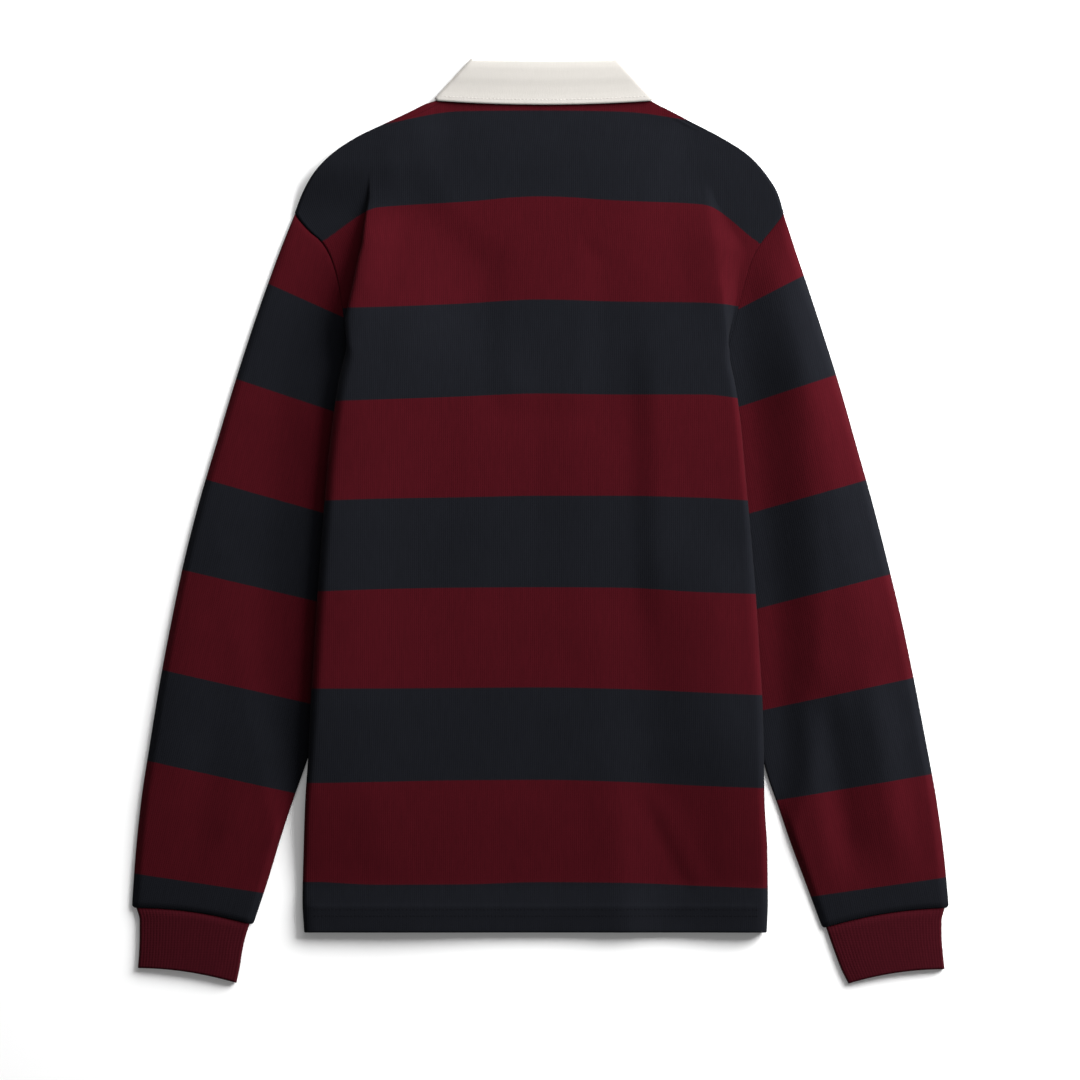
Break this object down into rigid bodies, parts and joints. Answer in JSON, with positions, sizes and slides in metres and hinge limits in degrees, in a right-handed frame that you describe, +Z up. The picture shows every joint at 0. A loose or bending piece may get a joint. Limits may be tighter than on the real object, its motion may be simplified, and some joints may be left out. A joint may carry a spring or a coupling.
{
  "type": "rugby shirt",
  "caption": "Long-sleeved rugby shirt with a twill collar and rib cuffs, laid flat face down with its sides turned under.",
  "frame": {"origin": "middle of the footprint, on the surface that the shirt lies on", "axes": "+Z up out of the back of the shirt, +Y towards the collar, +X towards the sleeve on the right as seen from above"},
  "size_m": [0.7086, 0.8036, 0.0121],
  "materials": {
    "striped_jersey": "heavy matt cotton jersey in wide navy and burgundy stripes",
    "burgundy_rib": "matt cotton rib, burgundy",
    "collar_twill": "matt off-white cotton twill"
  },
  "bodies": {
    "root": {"back": "striped_jersey", "front": "striped_jersey", "sleeve_left": "striped_jersey", "sleeve_right": "striped_jersey", "cuff_left": "burgundy_rib", "cuff_right": "burgundy_rib", "collar_fall": "collar_twill", "collar_stand": "collar_twill", "placket": "collar_twill"}
  },
  "joints": []
}
